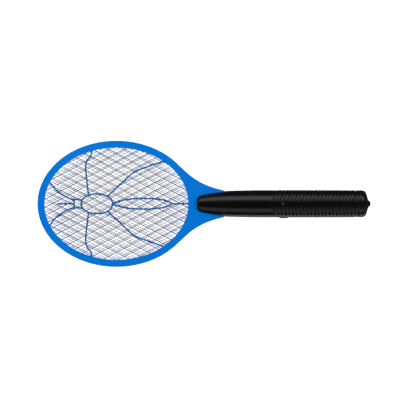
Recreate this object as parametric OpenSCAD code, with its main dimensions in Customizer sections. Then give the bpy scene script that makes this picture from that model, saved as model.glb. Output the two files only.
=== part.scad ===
// Electric fly swatter: an oval racket head with three wire grids behind an
// insect-shaped guard web, a throat, and a round battery handle with a push
// button, an indicator and a quarter-turn end cap.
// The racket lies on its back: X runs from the head tip to the cap, Z is up,
// and the origin is under the middle of the whole object.

/* [Head] */
// Length of the oval head along the racket
head_l = 213.4; // [208:0.2:218]
// Width of the oval head across the racket
head_w = 170.6; // [164:0.2:176]
// Width of the rim seen from the front
rim_w = 9.7; // [9.2:0.1:10.4]
// Thickness of the two rim halves together
frame_t = 12; // [12:0.2:13]
// Thickness of the rim's outer wall
rim_wall = 3; // [2.8:0.1:3.2]
// Thickness of the face lip that covers the grid hems
lip_t = 2; // [1.8:0.1:2]
// Width of the insect-shaped guard ribs
rib_w = 2.2; // [1.4:0.1:2.4]

/* [Grids] */
// Distance between neighbouring wires of an outer grid
outer_pitch = 9.8; // [8:0.2:12]
// Distance between neighbouring wires of the centre grid
centre_pitch = 4.9; // [4.4:0.1:6]
// Angle of the wires to the racket's length
wire_angle = 27; // [24:1:32]
// Width of one wire
wire_w = 0.7; // [0.5:0.1:1]

/* [Handle] */
// Largest radius of the handle
handle_r = 18.9; // [18.8:0.1:19.4]
// Wall of the two handle shells
shell_t = 2; // [1.8:0.1:2.1]

/* [Button and indicator] */
// Length of the push button along the handle
button_l = 11.3; // [10:0.1:11.6]
// Height of the push button across the parting line
button_h = 7; // [6:0.2:7.4]
// How far the button stands out of the handle
button_proud = 0.8; // [0.4:0.1:1]
// Diameter of the indicator lens
led_d = 3; // [2.8:0.1:3.2]

/* [Batteries and end cap] */
// Diameter of one cell
cell_d = 14.2; // [13.8:0.1:14.4]
// Length of one cell with its positive nub
cell_l = 50.5; // [50:0.1:50.5]
// How far the cap moves out in its quarter turn
cap_travel = 8; // [7:0.5:8]
// Diameter of the hanging eye through the end nub
eye_d = 2.2; // [1.8:0.1:2.4]
// Diameter of an insulated lead
lead_d = 1.2; // [1:0.1:1.3]

/* [Hidden] */
$fn = 48;

axis_h = handle_r;
half_l = 225;
ha = head_l / 2;
hb = head_w / 2;
hx = -half_l + ha;
ht = frame_t / 2;
lip_z = ht - lip_t;
// Hem zone: the grids and spacers fill the channel behind the lip
ch_a = ha - rim_wall;
ch_b = hb - rim_wall;
op_a = ha - rim_w;
op_b = hb - rim_w;
hem_oa = ch_a - 0.3;
hem_ob = ch_b - 0.3;
hem_ia = op_a + 0.9;
hem_ib = op_b + 0.9;
grid_t = 0.7;

// The throat's half outline: distance along the racket and half width
throat_half = [[-60, 30], [-35.5, 53.8], [-30, 49], [-25.8, 45], [-19, 38.6], [-12.3, 33.8], [-5.6, 29.7],
    [1.2, 26.3], [8, 23.7], [14.7, 21.5], [21.4, 19.4], [28.6, 17.7], [28.6, 13], [34, 13]];
// The handle's outer profile: radius and distance along the racket
dr = handle_r - 18.9;
shell_out = [[8.4 + dr, -9.4], [10.9 + dr, -8.4], [12.3 + dr, -6.6], [12.9 + dr, -4], [15.9 + dr, 13],
    [17.2 + dr, 28.4], [17.5 + dr, 42], [18.1 + dr, 69], [18.25 + dr, 88], [18.9 + dr, 94],
    [18.9 + dr, 130], [18.65 + dr, 170], [18.45 + dr, 204.6]];

seam_x = 204.6;
cells_x = 201.3 - cell_l;
cell_y = 7.35;
cell_r = cell_d / 2;
button_x = 108;
led_x = 106.7;
pcb_lo = -5.1;
pcb_hi = -3.5;
screw_boss_x = 138;
neck_r = 16.4;
neck_end = 213;
pin_x = 208.6;
helix_per_deg = cap_travel / 90;

function ell(a, b, n = 72) = [for (i = [0:n - 1]) [hx + a * cos(360 * i / n), b * sin(360 * i / n)]];
function flip(p) = [for (i = [len(p) - 1:-1:0]) [p[i][0], -p[i][1]]];
function unit(v) = v / norm(v);

// ---------- shared shapes ----------
module up_axis() translate([0, 0, axis_h]) children();
module blk(x0, x1, y0, y1, z0, z1) translate([x0, y0, z0]) cube([x1 - x0, y1 - y0, z1 - z0]);
module xcyl(x0, x1, r, y = 0, z = 0) translate([x0, y, z]) rotate([0, 90, 0]) cylinder(h = x1 - x0, r = r);
module ycyl(y0, y1, r, x = 0, z = 0) translate([x, y0, z]) rotate([-90, 0, 0]) cylinder(h = y1 - y0, r = r);
module zcyl(x, y, z0, z1, r) translate([x, y, z0]) cylinder(h = z1 - z0, r = r);
module spun(pts) rotate([0, 90, 0]) rotate_extrude() polygon(pts);
module slab(z0, z1) translate([0, 0, z0]) linear_extrude(z1 - z0) children();

// A solid handle body whose skin is the outer profile moved in by t
module handle_solid(t, x0 = -9.4, x1 = 204.6)
    spun(concat([[0, x0]], [for (p = shell_out) [p[0] - t, max(x0, min(x1, p[1] + (p[1] < 0 ? t : 0)))]], [[0, x1]]));

// A pan-head screw along Z: its head's underside is at z0, its tip at z1
module screw(x, y, z0, z1, r, head_r, head_h) {
    s = z1 > z0 ? 1 : -1;
    difference() {
        union() {
            zcyl(x, y, min(z0, z1), max(z0, z1), r);
            zcyl(x, y, s > 0 ? z0 - head_h : z0, s > 0 ? z0 : z0 + head_h, head_r);
        }
        // cross recess
        for (a = [0, 90]) translate([x, y, s > 0 ? z0 - head_h : z0 + head_h]) rotate([0, 0, a])
            cube([head_r * 1.1, 0.6, 1.6], center = true);
    }
}

// A round lead swept along points that never turn along Y
module lead(pts, r, sides = 8) {
    n = len(pts);
    function tang(i) = unit(pts[min(i + 1, n - 1)] - pts[max(i - 1, 0)]);
    rings = [for (i = [0:n - 1])
        let (t = tang(i), a = unit(cross(t, [0, 1, 0])), b = cross(t, a))
            for (k = [0:sides - 1]) pts[i] + r * (cos(360 * k / sides) * a + sin(360 * k / sides) * b)];
    polyhedron(points = rings,
        faces = concat(
            [[for (k = [0:sides - 1]) k]],
            [[for (k = [sides - 1:-1:0]) (n - 1) * sides + k]],
            [for (i = [0:n - 2]) for (k = [0:sides - 1])
                [i * sides + k, (i + 1) * sides + k, (i + 1) * sides + (k + 1) % sides, i * sides + (k + 1) % sides]]));
}

// ---------- head ----------
module throat_2d() polygon(concat(throat_half, flip(throat_half)));

// One thin line that offset() turns into a rib
module line(p) for (i = [0:len(p) - 2]) {
    d = unit(p[i + 1] - p[i]) * 0.02;
    polygon([p[i] + [-d[1], d[0]], p[i] + [d[1], -d[0]], p[i + 1] + [d[1], -d[0]], p[i + 1] + [-d[1], d[0]]]);
}

// The guard web: a flying insect seen from above, head towards the tip
front_leg = [[-59, 5.6], [-67.4, 8.8], [-81.3, 19.5], [-93, 31]];
middle_leg = [[-37, 12], [-40.5, 39], [-40.5, 54.6], [-32.3, 66], [-31, 75]];
rear_leg = [[-15, 10], [-9.3, 13.8], [25, 43], [68, 57.5]];
function leaf(u0, u1, w, n = 20) = [for (i = [0:n]) [u0 + (u1 - u0) * i / n, w * pow(sin(180 * pow(i / n, 0.85)), 0.75)]];
module web_2d() {
    translate([hx, 0]) offset(r = rib_w / 2, $fn = 12) {
        for (s = [1, -1]) scale([1, s]) {
            line(front_leg);
            line(middle_leg);
            line(rear_leg);
            line([for (i = [0:16]) [-25.4 + 21.8 * cos(180 * i / 16), 13.1 * sin(180 * i / 16)]]);
            line(leaf(-3.6, 75, 7.3));
            line([[-47.5, 6], [-59, 5.6], [-56.2, 2.6], [-56.2, 0]]);
        }
        line([[-79.7, 0], [-56.2, 0]]);
        line([[75, 0], [op_a + 3, 0]]);
    }
}

// The front rim half; the rear one is its mirror image with other screw holes
module head_half() {
    difference() {
        slab(0, ht) difference() {
            union() {
                polygon(ell(ha, hb));
                throat_2d();
            }
            polygon(ell(op_a, op_b));
        }
        // channel for the grid hems
        slab(-1, lip_z) polygon(ell(ch_a, ch_b));
        // hollow throat
        slab(-1, lip_z) difference() {
            polygon([[-30, 44], [-19, 35], [-12.3, 30.4], [-5.6, 26.4], [1.2, 23.2], [5, 21.6], [5, -21.6], [1.2, -23.2],
                [-5.6, -26.4], [-12.3, -30.4], [-19, -35], [-30, -44]]);
            polygon(ell(ha, hb));
        }
        // way for the leads, from the channel to the handle
        blk(-16, 40, -5, 5, -1, lip_z);
    }
    slab(lip_z, ht - 0.2) web_2d();
}

module front_head_frame() color("#0574d2") up_axis() {
    difference() {
        union() {
            head_half();
            for (s = [1, -1]) zcyl(-2, 17 * s, 0, lip_z + 0.5, 3.4);
            // centring bead round the rim
            slab(-0.8, 0.5) difference() {
                polygon(ell(ha - 1.2, hb - 1.2));
                polygon(ell(ha - 2.2, hb - 2.2));
                translate([-40, -60]) square([60, 120]);
            }
        }
        for (s = [1, -1]) zcyl(-2, 17 * s, -1, 4.8, 1.3);
        for (s = [1, -1]) zcyl(14, 8 * s, -1, 7, 1.7);
    }
}

module rear_head_frame() color("#0574d2") up_axis() {
    difference() {
        union() {
            mirror([0, 0, 1]) head_half();
            for (s = [1, -1]) zcyl(-2, 17 * s, -lip_z - 0.5, 0, 3.4);
        }
        // groove for the centring bead
        slab(-1, 1) difference() {
            polygon(ell(ha - 1.1, hb - 1.1));
            polygon(ell(ha - 2.3, hb - 2.3));
            translate([-39, -60]) square([60, 120]);
        }
        for (s = [1, -1]) {
            zcyl(-2, 17 * s, -7, 1, 1.6);
            zcyl(-2, 17 * s, -7, -4.4, 2.9);
            zcyl(14, 8 * s, -7, 1, 1.7);
        }
    }
}

module hem_2d() difference() {
    polygon(ell(hem_oa, hem_ob));
    polygon(ell(hem_ia, hem_ib));
}

module front_spacer_ring() color("#2a2d33") up_axis() slab(grid_t / 2, lip_z - grid_t) hem_2d();
module rear_spacer_ring() color("#2a2d33") up_axis() slab(-lip_z + grid_t, -grid_t / 2) hem_2d();

// Straight wires of one family, from hem to hem
module wires(pitch, angle, z0, z1) {
    ma = (hem_oa + hem_ia) / 2;
    mb = (hem_ob + hem_ib) / 2;
    n = [-sin(angle), cos(angle)];
    t = [cos(angle), sin(angle)];
    reach = sqrt(pow(hem_ia * n[0], 2) + pow(hem_ib * n[1], 2));
    count = floor(reach * 0.985 / pitch);
    for (i = [-count:count]) {
        d = i * pitch;
        qa = pow(t[0] / ma, 2) + pow(t[1] / mb, 2);
        qb = 2 * d * (n[0] * t[0] / pow(ma, 2) + n[1] * t[1] / pow(mb, 2));
        qc = d * d * (pow(n[0] / ma, 2) + pow(n[1] / mb, 2)) - 1;
        root = sqrt(qb * qb - 4 * qa * qc);
        s0 = (-qb - root) / (2 * qa);
        s1 = (-qb + root) / (2 * qa);
        translate([hx + d * n[0], d * n[1], z0]) rotate([0, 0, angle])
            translate([s0, -wire_w / 2, 0]) cube([s1 - s0, wire_w, z1 - z0]);
    }
}

// A grid: a flat hem that carries two crossing families of wires
module grid(z, pitch, tab_y) {
    gap = 0.06;
    slab(z, z + grid_t) hem_2d();
    wires(pitch, wire_angle, z, z + grid_t / 2 - gap / 2);
    wires(pitch, -wire_angle, z + grid_t / 2 + gap / 2, z + grid_t);
    blk(hx + hem_oa - 2.5, -8, tab_y - 1.2, tab_y + 1.2, z, z + grid_t);
}

module front_grid() color("#c9cdd2") up_axis() grid(lip_z - grid_t, outer_pitch, 3);
module centre_grid() color("#c9cdd2") up_axis() grid(-grid_t / 2, centre_pitch, 0);
module rear_grid() color("#c9cdd2") up_axis() grid(-lip_z, outer_pitch, -3);

module throat_screws() color("#8d9094") up_axis()
    for (s = [1, -1]) screw(-2, 17 * s, -4.4, 4.4, 1.25, 2.6, 1.4);

// ---------- handle ----------
// Oval that the button fills, drawn along X and Z and grown by g
module button_oval(g) {
    r = button_h / 2 + g;
    for (s = [1, -1]) translate([s * (button_l - button_h) / 2, 0]) circle(r);
    square([button_l - button_h, 2 * r], center = true);
}
module button_prism(y0, y1, g) translate([button_x, y1, 0]) rotate([90, 0, 0]) linear_extrude(y1 - y0) button_oval(g);

// Rings that stiffen a shell half
module ring_rib(x) spun([[10.5, x], [handle_r - 1, x], [handle_r - 1, x + 1.5], [10.5, x + 1.5]]);

module shell_skin() difference() {
    handle_solid(0);
    handle_solid(shell_t, -9.4 + shell_t, 205);
}

module front_handle_shell() color("#17181a") up_axis() {
    difference() {
        union() {
            intersection() {
                shell_skin();
                blk(-12, seam_x, -30, 30, 0, 30);
            }
            intersection() {
                handle_solid(shell_t / 2);
                union() {
                    for (x = [57, 98, 118]) difference() {
                        blk(x, x + 1.5, -20, 20, 0, 20);
                        xcyl(x - 1, x + 3, 14.6);
                    }
                    zcyl(screw_boss_x, 0, 0, 20, 3);
                    for (s = [1, -1]) zcyl(14, 8 * s, ht + 0.15, 20, 3.2);
                    // rib that seats in the collar's groove
                    difference() {
                        blk(195.2, 197, -20, 20, 0, 20);
                        xcyl(194, 198, 15.7);
                    }
                }
            }
        }
        // room for the throat
        blk(-12, 29.2, -30, 30, -1, ht + 0.15);
        zcyl(screw_boss_x, 0, -1, 12, 1.3);
        for (s = [1, -1]) zcyl(14, 8 * s, 5, 10.4, 1.3);
        zcyl(led_x, 0, 12, 20, led_d / 2 + 0.15);
        button_prism(-22, -12, 0.3);
    }
}

module rear_handle_shell() color("#17181a") up_axis() {
    difference() {
        union() {
            intersection() {
                shell_skin();
                blk(-12, seam_x, -30, 30, -30, 0);
            }
            intersection() {
                handle_solid(shell_t / 2);
                union() {
                    // seats for the circuit board
                    for (x = [57, 98, 118]) blk(x, x + 1.5, -20, 20, -20, pcb_lo);
                    for (s = [1, -1]) zcyl(82, 8 * s, -20, pcb_lo, 2.2);
                    zcyl(screw_boss_x, 0, -20, 0, 4);
                    for (s = [1, -1]) zcyl(14, 8 * s, -20, -ht - 0.15, 4);
                    difference() {
                        blk(195.2, 197, -20, 20, -20, 0);
                        xcyl(194, 198, 15.7);
                    }
                }
            }
            for (s = [1, -1]) zcyl(82, 8 * s, pcb_lo - 1, pcb_hi + 0.6, 1);
        }
        blk(-12, 29.2, -30, 30, -ht - 0.15, 1);
        zcyl(screw_boss_x, 0, -25, 1, 1.6);
        zcyl(screw_boss_x, 0, -25, -13.8, 3);
        for (s = [1, -1]) {
            zcyl(14, 8 * s, -20, -5, 1.6);
            zcyl(14, 8 * s, -20, -8.6, 2.9);
        }
        button_prism(-22, -12, 0.3);
    }
}

module handle_screws() color("#8d9094") up_axis() {
    screw(screw_boss_x, 0, -13.8, 9, 1.25, 2.7, 1.8);
    for (s = [1, -1]) screw(14, 8 * s, -8.6, 9.4, 1.25, 2.6, 1.6);
}

// ---------- button, switch and indicator ----------
module power_button() color("#a3232f") up_axis() {
    intersection() {
        button_prism(-22, -15, 0);
        xcyl(90, 126, handle_r + button_proud);
    }
    button_prism(-15.9, -14.9, 1);
}

module switch_plunger() color("#e8e6df") up_axis() {
    ycyl(-14.9, -7, 1.7, button_x, 0);
}

module switch_body() color("#26282b") up_axis() difference() {
    union() {
        blk(button_x - 3.5, button_x + 3.5, -8.5, -1.5, pcb_hi, 3.5);
        blk(button_x - 2.6, button_x + 2.6, -8.9, -8.4, -2.6, 2.6);
    }
    ycyl(-9.5, -3, 2, button_x, 0);
}

module indicator_led() color("#c8c8c2") up_axis() {
    r = led_d / 2;
    translate([led_x, 0, 0]) {
        rotate_extrude() polygon(concat([[0, 12], [r + 0.35, 12], [r + 0.35, 13], [r, 13]],
            [for (i = [0:8]) [r * cos(i * 11.25), 17.3 + r * sin(i * 11.25)]]));
        for (s = [1, -1]) blk(s * 1.1 - 0.25, s * 1.1 + 0.25, -0.25, 0.25, pcb_hi, 12.2);
    }
}

// ---------- electronics ----------
module circuit_board() color("#1f6b3a") up_axis() difference() {
    blk(42, 132, -11, 11, pcb_lo, pcb_hi);
    for (s = [1, -1]) zcyl(82, 8 * s, -8, 0, 1.2);
    // clipped corners at the lead end
    for (s = [1, -1]) translate([42, 11 * s, -6]) rotate([0, 0, 45]) translate([-2, -2, 0]) cube([4, 4, 4]);
}

module transformer_core() color("#3a3a3c") up_axis() difference() {
    blk(60, 80, -3, 3, -3, 11);
    blk(63, 77, -4, 4, -1, 2.2);
    blk(63, 77, -4, 4, 5.8, 9);
}

module transformer_bobbin() color("#e9e4d2") up_axis() difference() {
    union() {
        blk(63.2, 64.2, -7.5, 7.5, -0.8, 8.8);
        blk(75.8, 76.8, -7.5, 7.5, -0.8, 8.8);
        blk(63.2, 76.8, -3.8, 3.8, 1.4, 6.6);
        for (x = [63.2, 75.8]) for (s = [1, -1]) blk(x, x + 1, s > 0 ? 3.4 : -7.5, s > 0 ? 7.5 : -3.4, pcb_hi, -0.7);
    }
    blk(60, 80, -3.05, 3.05, 2.15, 5.85);
}

module transformer_winding() color("#b3642a") up_axis() difference() {
    blk(64.3, 75.7, -7, 7, -0.6, 8.6);
    blk(60, 80, -3.85, 3.85, 1.35, 6.65);
    // rounded outer corners of the coil
    for (s = [1, -1]) for (z = [-0.6, 8.6]) difference() {
        translate([70, 7 * s, z]) cube([20, 2.4, 2.4], center = true);
        xcyl(59, 81, 1.2, 5.8 * s, z < 4 ? 0.6 : 7.4);
    }
}

module storage_capacitor() color("#8c2f1c") up_axis() {
    translate([90, 0, -2.6]) linear_extrude(9) {
        square([11, 5.4], center = true);
        for (s = [1, -1]) translate([5.5 * s, 0]) circle(2.7);
    }
    for (s = [1, -1]) zcyl(90 + 5 * s, 0, pcb_hi, -2.5, 0.35);
}

module multiplier_capacitors() color("#c98a2b") up_axis()
    for (x = [50, 54.5]) {
        xcyl(x - 1.2, x + 1.2, 4, -6, 2);
        for (s = [1, -1]) zcyl(x, -6 + 2.5 * s, pcb_hi, -0.8, 0.3);
    }

// A small part that lies on the board along Y with its two legs bent down
module axial(x, y, r, l, leg) {
    z = pcb_hi + r + 0.2;
    ycyl(y - l / 2, y + l / 2, r, x, z);
    ycyl(y - l / 2 - 1, y + l / 2 + 1, leg, x, z);
    for (s = [1, -1]) blk(x - leg * 0.7, x + leg * 0.7, y + s * (l / 2 + 0.9) - leg * 0.7, y + s * (l / 2 + 0.9) + leg * 0.7, pcb_hi, z);
}

module rectifier_diodes() color("#1c1c1e") up_axis() for (x = [49, 53, 57.6]) axial(x, 6, 1.3, 4.4, 0.4);
module resistors() color("#bfa77a") up_axis() for (x = [116, 120.6, 124]) axial(x, -4, 1.1, 5.6, 0.3);

module drive_transistor() color("#1c1c1e") up_axis() {
    translate([118, 6, -0.6]) linear_extrude(4.8) difference() {
        circle(2.4);
        translate([-3, 1.3]) square([6, 3]);
    }
    for (s = [-1:1]) blk(118 + 1.27 * s - 0.22, 118 + 1.27 * s + 0.22, 5.5, 5.94, pcb_hi, -0.5);
}

// ---------- leads ----------
module hv_lead_front() color("#b8202a") up_axis()
    lead([[-8, 3, 3.2], [0, 3, 3], [12, 3.2, 2.6], [24, 3.2, 2.2], [34, 3.2, 1.6], [40, 3.2, 0.4], [43.6, 3.2, -1.2],
        [44.6, 3.2, -2.2], [44.8, 3.2, -3], [44.8, 3.2, -3.5]], lead_d / 2);
module hv_lead_centre() color("#d9d9d4") up_axis()
    lead([[-8, 0, 0], [2, 0, 0.1], [16, 0, 0], [30, 0, -0.1], [40, 0, -0.6], [44.4, 0, -1.4], [45.7, 0, -2.2], [46, 0, -3], [46, 0, -3.5]], lead_d / 2);
module hv_lead_rear() color("#2b4f9c") up_axis()
    lead([[-8, -3, -3.2], [2, -3, -3], [16, -3.2, -2.7], [30, -3.2, -2.4], [39, -3.2, -1.8], [44, -3.2, -1.6], [46, -3.2, -2],
        [46.6, -3.2, -2.5], [46.7, -3.2, -3], [46.7, -3.2, -3.5]], lead_d / 2);
module battery_lead_red() color("#b8202a") up_axis()
    lead([[128.4, 8, -3.5], [128.4, 8, -2.8], [129.2, 8, -1.5], [132, 8.2, -0.4], [136, 8.4, 0.8], [140, 8.2, 1.6], [142.2, 8, 1.8], [143, 8, 1.8]], lead_d / 2);
module battery_lead_black() color("#202124") up_axis()
    lead([[128.4, -8, -3.5], [128.4, -8, -2.8], [129.2, -8, -1.5], [132, -8.2, -0.4], [136, -8.4, 0.8], [140, -8.2, 1.6], [142.2, -8, 1.8], [143, -8, 1.8]], lead_d / 2);

// ---------- batteries and contacts ----------
module battery_cradle() color("#4a4d52") up_axis() difference() {
    union() {
        xcyl(144.5, 146.5, 16.1);
        // rails above and below the cells
        for (s = [1, -1]) blk(146, 187.5, -4, 4, s > 0 ? 9.3 : -11.3, s > 0 ? 11.3 : -9.3);
        for (s = [1, -1]) for (z = [1, -1]) blk(146, 152, s > 0 ? 3 : -4.4, s > 0 ? 4.4 : -3, z > 0 ? 7.6 : -9.4, z > 0 ? 9.4 : -7.6);
    }
    for (s = [1, -1]) blk(143, 148, s * 8 - 1.5, s * 8 + 1.5, 1, 2.6);
}

module cell(y, flip_it) up_axis() translate([cells_x + (flip_it ? cell_l : 0), y, 0]) rotate([0, flip_it ? -90 : 90, 0])
    rotate_extrude() polygon([[0, 0], [2.75, 0], [2.75, 1.2], [cell_r - 0.6, 1.2], [cell_r, 1.8], [cell_r, cell_l - 0.6],
        [cell_r - 0.6, cell_l], [0, cell_l]]);
module battery_cell_a() color("#3f7d4a") cell(cell_y, false);
module battery_cell_b() color("#3f7d4a") cell(-cell_y, true);

module positive_contact() color("#cfcfc8") up_axis() {
    blk(cells_x - 0.5, cells_x, 3.6, 11.1, -3.4, 3.4);
    blk(146.6, cells_x, 6.8, 9.2, 1.2, 1.6);
    blk(143, 147, 6.8, 9.2, 1.2, 1.6);
    blk(cells_x - 2.5, cells_x - 0.2, 6.8, 9.2, 1.2, 1.6);
}

// A conical coil that widens from the plate to the cell
module negative_spring() color("#cfcfc8") up_axis() {
    turns = 3;
    steps = 14;
    r = 0.4;
    x0 = 147.3;
    x1 = cells_x - 0.4;
    pts = [for (i = [0:turns * steps]) let (f = i / (turns * steps), a = 360 * i / steps, q = 2.6 + 2 * f)
        [x0 + (x1 - x0) * f, -cell_y + q * cos(a), q * sin(a)]];
    n = len(pts);
    rings = [for (i = [0:n - 1])
        let (t = unit(pts[min(i + 1, n - 1)] - pts[max(i - 1, 0)]), a = unit(cross(t, [1, 0, 0])), b = cross(t, a))
            for (k = [0:5]) pts[i] + r * (cos(60 * k) * a + sin(60 * k) * b)];
    polyhedron(points = rings,
        faces = concat([[for (k = [0:5]) k]], [[for (k = [5:-1:0]) (n - 1) * 6 + k]],
            [for (i = [0:n - 2]) for (k = [0:5]) [i * 6 + k, (i + 1) * 6 + k, (i + 1) * 6 + (k + 1) % 6, i * 6 + (k + 1) % 6]]));
    difference() {
        blk(146.6, 147.1, -cell_y - 3.6, -cell_y + 3.6, -3.6, 3.6);
        xcyl(146, 148, 1.6, -cell_y, 0);
    }
    blk(143, 147, -9.2, -6.8, 1.2, 1.6);
}

// ---------- cap end ----------
// Cutter for one helical entry slot of the collar
module helix_slot(a0) {
    g = 1.5;
    steps = 14;
    run = (neck_end + 2 - pin_x) / helix_per_deg;
    mid = neck_r - 0.9;
    slope = atan2(helix_per_deg, mid * 3.14159 / 180);
    da = g * sin(slope) / (mid * 3.14159 / 180);
    dx = g * cos(slope);
    function at(x, r, a) = [x, r * sin(a), r * cos(a)];
    pts = [for (i = [0:steps]) let (a = a0 - run * i / steps, x = pin_x + helix_per_deg * run * i / steps)
        for (q = [[13.5, 1], [18, 1], [18, -1], [13.5, -1]]) at(x + q[1] * dx, q[0], a + q[1] * da)];
    polyhedron(points = pts,
        faces = concat([[0, 1, 2], [0, 2, 3]], [[for (k = [2:-1:0]) steps * 4 + k], [for (k = [3, 2, 0]) steps * 4 + k]],
            [for (i = [0:steps - 1]) for (k = [0:3]) for (h = [0, 1])
                h == 0 ? [(i + 1) * 4 + (k + 1) % 4, i * 4 + (k + 1) % 4, i * 4 + k]
                    : [(i + 1) * 4 + k, (i + 1) * 4 + (k + 1) % 4, i * 4 + k]]));
    rotate([-a0, 0, 0]) zcyl(pin_x, 0, 13.5, 18, g);
}

module end_collar() color("#3b3d41") up_axis() difference() {
    union() {
        spun([[14.9, 188], [neck_r, 188], [neck_r, neck_end - 0.6], [neck_r - 0.6, neck_end], [14.9, neck_end]]);
        // guides that keep the contact carrier from turning
        for (z = [1, -1]) for (y = [1, -1]) intersection() {
            blk(188, 203.2, y > 0 ? 3.4 : -5, y > 0 ? 5 : -3.4, z > 0 ? 9.2 : -16, z > 0 ? 16 : -9.2);
            xcyl(188, 203.2, 15.6);
        }
    }
    // groove for the shells' rib
    spun([[15.5, 195], [18, 195], [18, 197.2], [15.5, 197.2]]);
    for (a = [0, 120, 240]) helix_slot(a);
}

module contact_carrier() color("#2d2f33") up_axis() difference() {
    union() {
        xcyl(203.6, 206.7, 14.5);
        for (z = [1, -1]) blk(190, 204, -3, 3, z > 0 ? 9.6 : -11.6, z > 0 ? 11.6 : -9.6);
    }
    xcyl(203, 208, 1.5);
    xcyl(203, 205.6, 3.2);
}

module bridge_contact() color("#cfcfc8") up_axis()
    translate([0, 0, -3]) linear_extrude(6) polygon([[203.6, -11.4], [203.6, 11.4], [203.1, 11.4], [203.1, 10.4],
        [201.6, 8.4], [201.6, 6.4], [203.1, 4.4], [203.1, -4.4], [201.6, -6.4], [201.6, -8.4], [203.1, -10.4], [203.1, -11.4]]);

module carrier_screw() color("#8d9094") up_axis() {
    xcyl(205.2, 213, 1.2);
    xcyl(203.9, 205.3, 2.8);
}

// Post that the contact carrier swivels on
module swivel_post() color("#3b3d41") up_axis() difference() {
    xcyl(207, 219, 3.6);
    xcyl(206, 214, 1.25);
}

module end_cap() color("#17181a") up_axis() difference() {
    union() {
        difference() {
            spun([[0, 204.9], [18.45 + dr, 204.9], [18.4 + dr, 214.3], [17.9 + dr, 216], [17 + dr, 217.2], [15.2, 218.5], [12.4, 219.8],
                [7.9, 221.1], [4.2, 221.7], [4.2, 223], [3.6, 224.2], [2.4, 225], [0, 225]]);
            spun([[0, 204], [16.9, 204], [16.9, 214], [15.6, 215.4], [13.4, 216.6], [10.6, 217.8], [7, 219], [0, 219]]);
        }
        // socket for the swivel post
        xcyl(216, 219.5, 4.9);
        // three bayonet pins
        for (a = [0, 120, 240]) rotate([a, 0, 0]) zcyl(pin_x, 0, 15, 17.4, 1.2);
    }
    xcyl(215, 219, 3.65);
    // flat sides of the nub and the hanging eye through it
    for (s = [1, -1]) blk(221.8, 226, s > 0 ? 3.9 : -8, s > 0 ? 8 : -3.9, -8, 8);
    ycyl(-12, 12, eye_d / 2, 223.1, 0);
}

front_head_frame();
rear_head_frame();
front_spacer_ring();
rear_spacer_ring();
front_grid();
centre_grid();
rear_grid();
throat_screws();
front_handle_shell();
rear_handle_shell();
handle_screws();
power_button();
switch_plunger();
switch_body();
indicator_led();
circuit_board();
transformer_core();
transformer_bobbin();
transformer_winding();
storage_capacitor();
multiplier_capacitors();
rectifier_diodes();
drive_transistor();
resistors();
hv_lead_front();
hv_lead_centre();
hv_lead_rear();
battery_lead_red();
battery_lead_black();
battery_cradle();
battery_cell_a();
battery_cell_b();
positive_contact();
negative_spring();
end_collar();
contact_carrier();
bridge_contact();
carrier_screw();
swivel_post();
end_cap();
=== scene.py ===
import bpy
import bmesh
import math
import numpy as np
from mathutils import Vector, Matrix


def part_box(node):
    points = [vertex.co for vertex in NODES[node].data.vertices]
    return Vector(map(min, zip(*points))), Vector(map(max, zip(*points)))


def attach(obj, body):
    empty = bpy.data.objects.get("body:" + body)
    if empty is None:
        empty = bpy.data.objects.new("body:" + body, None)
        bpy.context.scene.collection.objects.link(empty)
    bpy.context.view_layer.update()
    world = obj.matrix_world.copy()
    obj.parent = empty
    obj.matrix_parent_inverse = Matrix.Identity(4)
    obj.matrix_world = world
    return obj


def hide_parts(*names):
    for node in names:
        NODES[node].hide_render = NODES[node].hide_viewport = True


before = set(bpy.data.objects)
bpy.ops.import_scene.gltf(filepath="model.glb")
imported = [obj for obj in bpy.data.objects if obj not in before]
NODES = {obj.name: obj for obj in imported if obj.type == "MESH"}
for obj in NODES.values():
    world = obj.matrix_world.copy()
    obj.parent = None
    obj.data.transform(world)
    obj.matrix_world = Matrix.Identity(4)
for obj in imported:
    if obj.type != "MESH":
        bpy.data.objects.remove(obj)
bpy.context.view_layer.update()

# The racket's own frame: millimetres, X from the head tip to the end cap, Z = 0 in the plane of the
# grids and on the handle's axis. The handle's largest radius is the axis height.
AX = (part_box("front_handle_shell")[1].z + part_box("rear_handle_shell")[0].z) / 2 * 1000.0
HEAD_LO, HEAD_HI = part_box("front_spacer_ring")
TIP_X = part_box("front_head_frame")[0].x * 1000.0
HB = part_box("front_head_frame")[1].y * 1000.0
HX = (HEAD_LO.x + HEAD_HI.x) / 2 * 1000.0
HA = HX - TIP_X
RIM_W = 9.7
OA, OB = HA - RIM_W, HB - RIM_W
HT = 6.0
LIP = 4.0


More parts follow.
